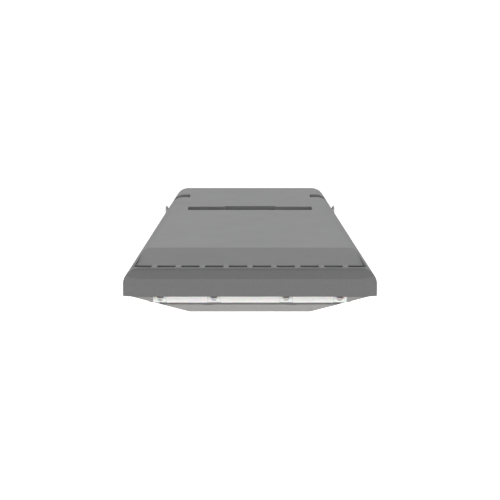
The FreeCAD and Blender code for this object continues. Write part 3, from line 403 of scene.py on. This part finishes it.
def make_materials():
    """One finish for each material slot of the record, and a darker steel for the lens screws, whose darkness
    is painted shade of their pockets.
    """
    return {
        "paint": new_material(
            "grey_powder_coat", GRAIN,
            {"Dark": grey(0.168, -0.01), "Light": grey(0.217, -0.01), "Grains": 820.0, "Smooth": 0.46,
             "Rough": 0.62, "Cloud": 0.18},
            bump=(0.35, 0.25 * MM), dust=(0.10, grey(0.34, 0.03)), nose=True),
        "plate": new_material(
            "rolled_aluminium", STREAKS,
            {"Dark": grey(0.62), "Light": grey(0.78), "Scales": (1500.0, 40.0, 1500.0), "Smooth": 0.28,
             "Rough": 0.42},
            bump=(0.12, 0.1 * MM), Metallic=1.0),
        "board": new_material(
            "white_solder_mask", GRAIN,
            {"Dark": grey(0.78), "Light": grey(0.86), "Grains": 1400.0, "Smooth": 0.25, "Rough": 0.36,
             "Cloud": 0.3},
            bump=(0.08, 0.1 * MM)),
        "emitter": new_material(
            "yellow_phosphor", GRAIN,
            {"Dark": (0.78, 0.52, 0.08, 1), "Light": (0.90, 0.68, 0.16, 1), "Grains": 2500.0,
             "Smooth": 0.25, "Rough": 0.4, "Cloud": 0.1},
            bump=(0.1, 0.05 * MM)),
        "lens": new_material(
            "milky_lens_plastic", GRAIN,
            {"Dark": (0.945, 0.94, 0.93, 1), "Light": (0.975, 0.97, 0.96, 1), "Grains": 500.0,
             "Smooth": 0.20, "Rough": 0.30, "Cloud": 0.5},
            bump=(0.06, 0.1 * MM), Coat_Weight=0.25, Coat_Roughness=0.12, Subsurface_Weight=0.35,
            Subsurface_Scale=4 * MM),
        "rubber": new_material(
            "black_rubber", GRAIN,
            {"Dark": grey(0.018), "Light": grey(0.045), "Grains": 1600.0, "Smooth": 0.6, "Rough": 0.8,
             "Cloud": 0.3},
            bump=(0.3, 0.1 * MM)),
        "steel": new_material(
            "stainless_steel", STREAKS,
            {"Dark": grey(0.26), "Light": grey(0.44), "Scales": (1800.0, 1800.0, 90.0), "Smooth": 0.28,
             "Rough": 0.44},
            bump=(0.15, 0.1 * MM), Metallic=1.0),
        # Painted shade: darker steel on the lens screws, standing in for the shade in their pockets
        "pocket_shade_steel": new_material(
            "stainless_steel_with_painted_shade", STREAKS,
            {"Dark": grey(0.07), "Light": grey(0.15), "Scales": (1800.0, 1800.0, 90.0), "Smooth": 0.42,
             "Rough": 0.60},
            bump=(0.15, 0.1 * MM), Metallic=1.0),
        "zinc": new_material(
            "zinc_sheet", SPANGLE,
            {"Dark": grey(0.48), "Light": grey(0.66), "Facets": 170.0, "Smooth": 0.28, "Rough": 0.46},
            bump=(0.08, 0.1 * MM), Metallic=1.0),
        "case": new_material(
            "pale_moulded_plastic", GRAIN,
            {"Dark": grey(0.66, 0.01), "Light": grey(0.76, 0.01), "Grains": 1300.0, "Smooth": 0.38,
             "Rough": 0.52, "Cloud": 0.3},
            bump=(0.15, 0.1 * MM)),
        "dark_case": new_material(
            "dark_moulded_plastic", GRAIN,
            {"Dark": grey(0.030), "Light": grey(0.065), "Grains": 1300.0, "Smooth": 0.38, "Rough": 0.55,
             "Cloud": 0.3},
            bump=(0.2, 0.1 * MM)),
    }


MATERIALS = make_materials()


def finish_nodes():
    """Gives every CAD node the material of its slot in the record."""
    for entry in frame["record"]["subparts"]:
        mesh = frame["nodes"][entry["node"]].data
        mesh.materials.clear()
        mesh.materials.append(MATERIALS[entry["material_slot"]])


finish_nodes()


# Mesh helpers

def islands(node):
    """The points of each separate solid in a CAD node, read from a merged copy and sorted by place."""
    copy = bmesh.new()
    copy.from_mesh(frame["nodes"][node].data)
    bmesh.ops.remove_doubles(copy, verts=copy.verts, dist=CAD_MERGE)
    left = set(copy.verts)
    found = []
    while left:
        to_visit = [left.pop()]
        island = []
        while to_visit:
            vert = to_visit.pop()
            island.append(vert.co.copy())
            for edge in vert.link_edges:
                other = edge.other_vert(vert)
                if other in left:
                    left.remove(other)
                    to_visit.append(other)
        found.append(island)
    copy.free()
    return sorted(found, key=island_place)


def island_place(points):
    """Rounded Y and X of an island's low corner, to sort by."""
    low = corners(points)[0]
    return round(low.y, PLACE_DIGITS), round(low.x, PLACE_DIGITS)


def corners(points):
    low = Vector(min(p[axis] for p in points) for axis in range(3))
    high = Vector(max(p[axis] for p in points) for axis in range(3))
    return low, high


def off_axis(point, centre):
    """How far a point lies from the upright line through a centre."""
    return math.hypot(point.x - centre.x, point.y - centre.y)


def bearing(vert):
    return math.atan2(vert.co.y, vert.co.x)


def scale_off_axis(vert, share):
    """Scales a point's distance from the Z axis."""
    vert.co.x *= share
    vert.co.y *= share


def join(mesh, other):
    """Adds another bmesh to this one and frees it."""
    data = bpy.data.meshes.new("joined")
    other.to_mesh(data)
    other.free()
    mesh.from_mesh(data)
    bpy.data.meshes.remove(data)


def add_piece(name, mesh, body, slot, *replaced, finish=None):
    """Links a bmesh as a piece of the object, riding on a body, with its slot's finish or another."""
    bmesh.ops.recalc_face_normals(mesh, faces=mesh.faces)
    data = bpy.data.meshes.new(name)
    mesh.to_mesh(data)
    mesh.free()
    made = bpy.data.objects.new(name, data)
    bpy.context.scene.collection.objects.link(made)
    data.materials.append(MATERIALS[finish or slot])
    data.shade_smooth()
    data.set_sharp_from_angle(angle=SHARP_ANGLE)
    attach(made, body)
    if replaced:
        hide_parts(*replaced)


def turn_profile(mesh, profile):
    """Spins a profile of radius and height points about the Z axis and closes it. Returns the new points."""
    before = set(mesh.verts)
    verts = [mesh.verts.new((radius, 0, height)) for radius, height in profile]
    edges = [mesh.edges.new(pair) for pair in zip(verts, verts[1:])]
    bmesh.ops.spin(mesh, geom=verts + edges, cent=(0, 0, 0), axis=(0, 0, 1), angle=FULL_TURN,
                   steps=TURN_SIDES, use_merge=True)
    made = [vert for vert in mesh.verts if vert not in before]
    bmesh.ops.remove_doubles(mesh, verts=made, dist=SEAM_MERGE)
    return [vert for vert in mesh.verts if vert not in before]


def add_plate(mesh, outline, thickness):
    """An upright flat plate: an outline of points at one Y, pushed back along Y by its thickness."""
    front = mesh.faces.new([mesh.verts.new(point) for point in outline])
    pushed = bmesh.ops.extrude_face_region(mesh, geom=[front])
    back = [item for item in pushed["geom"] if isinstance(item, bmesh.types.BMVert)]
    bmesh.ops.translate(mesh, verts=back, vec=(0, thickness, 0))


# Fasteners

def hexagon_radius(angle, corner_radius):
    """How far a regular hexagon's edge lies from its centre at an angle."""
    step = FULL_TURN / HEX_SIDES
    off = (angle % step) - step / 2
    return corner_radius * math.cos(step / 2) / math.cos(off)


def shank_rings(radius, low, high, pitch):
    """Profile points up a shank, close enough together to carry its thread."""
    count = max(2, round((high - low) / pitch * RINGS_PER_TURN))
    return [(radius, low + (high - low) * step / count) for step in range(count + 1)]


def cut_thread(verts, crest, low, high, pitch):
    """Draws a shank's points in along a helix, so that its crests keep the shank's radius."""
    for vert in verts:
        if not low <= vert.co.z <= high or off_axis(vert.co, AXIS) < crest - SHANK_TOLERANCE:
            continue
        phase = (vert.co.z / pitch - bearing(vert) / FULL_TURN) % 1.0
        radius = crest - THREAD_DEPTH * abs(2 * phase - 1)
        scale_off_axis(vert, radius / crest)


def pan_head_profile(head, socket, bottom, seat):
    """Radius and height points of a pan head, from the floor of its socket out to its seat.

    The dome's rings lie at whole parts of a half turn, the last at a quarter turn, where it is widest.
    """
    tall = seat - bottom
    floor = bottom + SOCKET_DEPTH_SHARE * tall
    turns = [step * math.pi / DOME_PARTS for step in range(DOME_FIRST_PART, DOME_PARTS // 2 + 1)]
    dome = [(head * math.sin(turn), DOME_RISE_SHARE * tall * (1 - math.cos(turn))) for turn in turns]
    mouth = bottom + dome[0][1] * SOCKET_MOUTH_SHARE
    inside = [(0, floor), (SOCKET_FLOOR_SHARE * socket, floor), (socket, mouth)]
    outside = [(radius, bottom + rise) for radius, rise in dome]
    return inside + outside + [(head, seat - SEAT_CHAMFER), (head - SEAT_CHAMFER, seat)]


def add_screw(mesh, points):
    """Fills an empty bmesh with a pan-head screw, head down, at the place of a CAD screw's points."""
    low, high = corners(points)
    centre = (low + high) / 2
    head = (high.x - low.x) / 2
    seat = max(p.z for p in points if off_axis(p, centre) > HEAD_EDGE_SHARE * head)
    shank = max(off_axis(p, centre) for p in points if p.z > seat + SEAT_MARGIN)
    socket = SOCKET_SHARE * head
    for vert in turn_profile(mesh, pan_head_profile(head, socket, low.z, seat)):
        reach = off_axis(vert.co, AXIS)
        if 0 < reach <= socket * SOCKET_TOLERANCE:
            scale_off_axis(vert, hexagon_radius(bearing(vert), reach) / reach)
    thread_end = high.z - TIP_CHAMFER
    rings = shank_rings(shank, seat + NECK, thread_end, SCREW_PITCH)
    tip = [(shank - TIP_CHAMFER * TIP_SLOPE, high.z), (0, high.z)]
    stem = turn_profile(mesh, [(shank, seat)] + rings + tip)
    cut_thread(stem, shank, seat + SCREW_THREAD_START, thread_end, SCREW_PITCH)
    turn_profile(mesh, [(head - SEAT_CHAMFER, seat), (shank, seat)])
    bmesh.ops.remove_doubles(mesh, verts=mesh.verts, dist=SCREW_MERGE)
    bmesh.ops.translate(mesh, verts=mesh.verts, vec=(centre.x, centre.y, 0))


def dress_screws():
    """Puts detailed screws in the place of every plain CAD screw."""
    for node in ("lens_screws", "tray_screws", "frame_screws", "board_screws", "plate_screws", "gear_screws",
                 "earth_screw"):
        screws = bmesh.new()
        for points in islands(node):
            single = bmesh.new()
            add_screw(single, points)
            join(screws, single)
        # The lens screws take the darker steel, which is painted shade of their pockets
        finish = "pocket_shade_steel" if node == "lens_screws" else "steel"
        add_piece(f"{node}_detail", screws, "head", "steel", node, finish=finish)


def add_hex_head(mesh, corner, low, high, hole=0.0):
    """A hexagon head or nut with chamfered corners at both faces, with a round hole if one is given."""
    flat = corner * math.cos(math.pi / HEX_SIDES)
    chamfer = (corner - flat) * HEX_CHAMFER_SHARE
    face = flat * HEX_FACE_SHARE
    outside = [(face, low), (corner, low + chamfer), (corner, high - chamfer), (face, high)]
    profile = [(hole, low)] + outside + [(hole, high)]
    if hole:
        profile.append((hole, low))
    for vert in turn_profile(mesh, profile):
        reach = off_axis(vert.co, AXIS)
        if reach > flat * HEX_CORNER_SHARE:
            edge = min(reach, hexagon_radius(bearing(vert), corner))
            scale_off_axis(vert, edge / reach)


def dress_arm_bolts():
    """Threaded bolts with chamfered heads in the place of the plain ones under the arm socket."""
    bolts = bmesh.new()
    for points in islands("arm_bolts"):
        low, high = corners(points)
        centre = (low + high) / 2
        shank = max(off_axis(p, centre) for p in points if p.z > high.z - BOLT_TIP)
        seat = max(p.z for p in points if off_axis(p, centre) > HEAD_OVER_SHANK * shank)
        thread_end = high.z - TIP_CHAMFER
        foot = seat - BOLT_OVERLAP
        single = bmesh.new()
        add_hex_head(single, (high.x - low.x) / 2, low.z, seat)
        rings = shank_rings(shank, foot, thread_end, BOLT_PITCH)
        tip = [(shank - TIP_CHAMFER, high.z), (0, high.z)]
        stem = turn_profile(single, [(0, foot)] + rings + tip)
        cut_thread(stem, shank, seat + BOLT_THREAD_START, thread_end, BOLT_PITCH)
        bmesh.ops.translate(single, verts=single.verts, vec=(centre.x, centre.y, 0))
        join(bolts, single)
    add_piece("arm_bolts_detail", bolts, "head", "steel", "arm_bolts")


def dress_lock_nuts():
    """Chamfered nuts in the place of the plain ones on the arm bolts."""
    nuts = bmesh.new()
    for points in islands("lock_nuts"):
        low, high = corners(points)
        centre = (low + high) / 2
        hole = min(off_axis(p, centre) for p in points)
        single = bmesh.new()
        add_hex_head(single, (high.x - low.x) / 2, low.z, high.z, hole)
        bmesh.ops.translate(single, verts=single.verts, vec=(centre.x, centre.y, 0))
        join(nuts, single)
    add_piece("lock_nuts_detail", nuts, "head", "steel", "lock_nuts")


# Emitters, lens and latches

def add_emitter_base(bases, centre, width, tall, top):
    """The square base of an emitter package, with softened edges, hanging from a height."""
    height = BASE_SHARE * tall
    base = bmesh.new()
    bmesh.ops.create_cube(base, size=1.0)
    bmesh.ops.scale(base, vec=(width, width, height), verts=base.verts)
    bmesh.ops.bevel(base, geom=base.edges[:], offset=BASE_BEVEL_SHARE * width, segments=2, profile=0.5,
                    affect="EDGES", material=-1)
    bmesh.ops.translate(base, vec=(centre.x, centre.y, top - height / 2), verts=base.verts)
    join(bases, base)


def add_emitter_dome(domes, centre, width, tall, top):
    """The phosphor dome of an emitter package, closed by a flat face, hanging from a height."""
    radius = PHOSPHOR_SHARE * width
    dome = bmesh.new()
    bmesh.ops.create_uvsphere(dome, u_segments=PHOSPHOR_AROUND, v_segments=PHOSPHOR_UP, radius=radius)
    bmesh.ops.bisect_plane(dome, geom=dome.verts[:] + dome.edges[:] + dome.faces[:], plane_co=(0, 0, 0),
                           plane_no=(0, 0, 1), clear_outer=True)
    rim = [edge for edge in dome.edges if edge.is_boundary]
    bmesh.ops.edgeloop_fill(dome, edges=rim)
    bmesh.ops.scale(dome, vec=(1, 1, (1 - BASE_SHARE) * tall / radius), verts=dome.verts)
    bmesh.ops.translate(dome, vec=(centre.x, centre.y, top - BASE_SHARE * tall), verts=dome.verts)
    join(domes, dome)


def dress_emitters():
    """Emitter packages: a pale square base with a phosphor dome, in the place of each CAD block."""
    domes = bmesh.new()
    bases = bmesh.new()
    for points in islands("led_emitters"):
        low, high = corners(points)
        package = ((low + high) / 2, high.x - low.x, high.z - low.z, high.z)
        add_emitter_base(bases, *package)
        add_emitter_dome(domes, *package)
    add_piece("emitter_domes", domes, "head", "emitter", "led_emitters")
    add_piece("emitter_bases", bases, "head", "board", "led_emitters")


def add_lens_lips():
    """Thin lips across the mouths of the lens's front screw pockets, notched where the screw heads show."""
    lens_low, lens_high = corners([vert.co for vert in frame["nodes"]["lens_cover"].data.vertices])
    top = lens_high.z - LIP_TOP_DROP
    bottom = lens_high.z - LIP_BOTTOM_DROP
    notch = top - NOTCH_DEPTH
    front = lens_low.y + LIP_SET_BACK
    outline = [(-LIP_HALF, bottom), (LIP_HALF, bottom), (LIP_HALF, top), (NOTCH_HALF, top),
               (NOTCH_FOOT, notch), (-NOTCH_FOOT, notch), (-NOTCH_HALF, top), (-LIP_HALF, top)]
    lips = bmesh.new()
    for points in islands("lens_screws"):
        low, high = corners(points)
        if low.y - lens_low.y > LIP_ROW_REACH:
            continue
        middle = (low.x + high.x) / 2
        add_plate(lips, [(middle + x, front, z) for x, z in outline], LIP_THICK)
    add_piece("lens_pocket_lips", lips, "head", "lens")


def add_latch_cheeks():
    """Folded cheeks along both edges of each latch strap, from near its pin up to the thumb tab."""
    for node, body, side in (("left_latch", "left_clip", -1), ("right_latch", "right_clip", 1)):
        points = [vert.co for vert in frame["nodes"][node].data.vertices]
        low, high = corners(points)
        strap = [p for p in points if CHEEK_FOOT < p.z < high.z - TAB_RISE]
        face = max(abs(p.x) for p in strap)
        knee = max(p.z for p in strap)
        tip = max(abs(p.x) for p in points) - CHEEK_MARGIN
        outline = [(face, CHEEK_FOOT), (face, knee), (tip, high.z - 2 * CHEEK_MARGIN), (tip, CHEEK_SHOULDER),
                   (face + CHEEK_TOE, CHEEK_FOOT)]
        cheeks = bmesh.new()
        for start in (low.y, high.y - CHEEK_THICK):
            add_plate(cheeks, [(side * x, start, z) for x, z in outline], CHEEK_THICK)
        add_piece(f"{node}_cheeks", cheeks, body, "steel")


dress_screws()
dress_arm_bolts()
dress_lock_nuts()
dress_emitters()
add_lens_lips()
add_latch_cheeks()


# Studio: pale floor well below the hanging head, white to the camera, plain soft light

def seen_directly(tree, path):
    """1 for camera rays and for rays through glass, and 0 for others."""
    return maths(tree, "MAXIMUM", path.outputs["Is Camera Ray"], path.outputs["Is Transmission Ray"])


def set_world():
    """A pale sweep that darkens overhead, shown as plain white to the camera and to low reflections."""
    world = bpy.data.worlds.new("studio")
    world.use_nodes = True
    bpy.context.scene.world = world
    tree = world.node_tree
    way = add_node(tree, "ShaderNodeTexCoord").outputs["Generated"]
    height = part_of(tree, way, "Z")
    sky = tree.nodes["Background"]
    sky.inputs["Color"].default_value = WHITE
    strength = spread(tree, height, SKY_FADE, HORIZON_LEVEL, ZENITH_LEVEL)
    tree.links.new(strength, sky.inputs["Strength"])
    path = add_node(tree, "ShaderNodeLightPath")
    low_down = spread(tree, height, LOW_REFLECTION, 1.0, 0.0)
    low_glossy = maths(tree, "MULTIPLY", path.outputs["Is Glossy Ray"], low_down)
    seen = maths(tree, "MAXIMUM", seen_directly(tree, path), low_glossy)
    white = add_node(tree, "ShaderNodeBackground", [("Color", WHITE), ("Strength", 1.0)])
    mixed = add_node(tree, "ShaderNodeMixShader", [(0, seen), (1, sky.outputs[0]), (2, white.outputs[0])])
    tree.links.new(mixed.outputs[0], tree.nodes["World Output"].inputs["Surface"])


def make_floor_material():
    """A pale surface that glows only to the rays that see it, and is see-through from beneath."""
    pale = bpy.data.materials.new("pale_floor")
    pale.use_nodes = True
    tree = pale.node_tree
    principled = tree.nodes["Principled BSDF"]
    principled.inputs["Base Color"].default_value = FLOOR_COLOUR
    principled.inputs["Roughness"].default_value = FLOOR_ROUGHNESS
    path = add_node(tree, "ShaderNodeLightPath")
    seen = maths(tree, "MAXIMUM", seen_directly(tree, path), path.outputs["Is Glossy Ray"])
    tint = blend_colour(tree, path.outputs["Is Glossy Ray"], WHITE, WARM_REFLECTION)
    level = maths(tree, "MULTIPLY", seen, FLOOR_LIFT)
    lift = add_node(tree, "ShaderNodeEmission", [("Color", tint), ("Strength", level)])
    lit = add_node(tree, "ShaderNodeAddShader", [(0, principled.outputs[0]), (1, lift.outputs[0])])
    beneath = add_node(tree, "ShaderNodeNewGeometry").outputs["Backfacing"]
    clear = add_node(tree, "ShaderNodeBsdfTransparent")
    sided = add_node(tree, "ShaderNodeMixShader", [(0, beneath), (1, lit.outputs[0]), (2, clear.outputs[0])])
    tree.links.new(sided.outputs[0], tree.nodes["Material Output"].inputs["Surface"])
    return pale


def add_floor():
    """A floor below the head, low enough that the head's shadow falls outside the photograph's frame."""
    mesh = bmesh.new()
    bmesh.ops.create_grid(mesh, x_segments=1, y_segments=1, size=FLOOR_HALF)
    bmesh.ops.translate(mesh, vec=Vector(HEAD_MIDDLE) - Vector((0, 0, FLOOR_DROP)), verts=mesh.verts)
    data = bpy.data.meshes.new("floor")
    mesh.to_mesh(data)
    mesh.free()
    data.materials.append(make_floor_material())
    floor = bpy.data.objects.new("floor", data)
    bpy.context.scene.collection.objects.link(floor)


def add_softbox(name, place, size, watts):
    """A rectangular lamp at a place, aimed at the middle of the head, with a width and a height in metres."""
    lamp = bpy.data.lights.new(name, "AREA")
    lamp.shape = "RECTANGLE"
    lamp.size, lamp.size_y = size
    lamp.energy = watts
    made = bpy.data.objects.new(name, lamp)
    made.location = place
    made.rotation_euler = (Vector(HEAD_MIDDLE) - Vector(place)).to_track_quat("-Z", "Y").to_euler()
    bpy.context.scene.collection.objects.link(made)


def add_camera():
    lens = bpy.data.cameras.new("camera")
    lens.lens = CAMERA_LENS
    lens.clip_end = CAMERA_REACH
    made = bpy.data.objects.new("camera", lens)
    made.location = CAMERA_PLACE
    made.rotation_euler = (math.radians(90 - CAMERA_DOWN), 0, 0)
    bpy.context.scene.collection.objects.link(made)
    bpy.context.scene.camera = made


set_world()
add_floor()
add_softbox("rear_softbox", place=(0, 2.4, 2.2), size=(2.6, 1.3), watts=44.0)
add_softbox("front_softbox", place=(0, -3.4, -0.05), size=(2.6, 1.2), watts=15.5)
add_softbox("high_softbox", place=(0, -2.4, 1.5), size=(1.8, 0.8), watts=14.5)
for side_name, reach_out in (("left_softbox", -3.0), ("right_softbox", 3.0)):
    add_softbox(side_name, place=(reach_out, -0.9, 0.35), size=(1.6, 1.2), watts=26.0)
add_camera()

view = bpy.context.scene.view_settings
view.view_transform = "Standard"
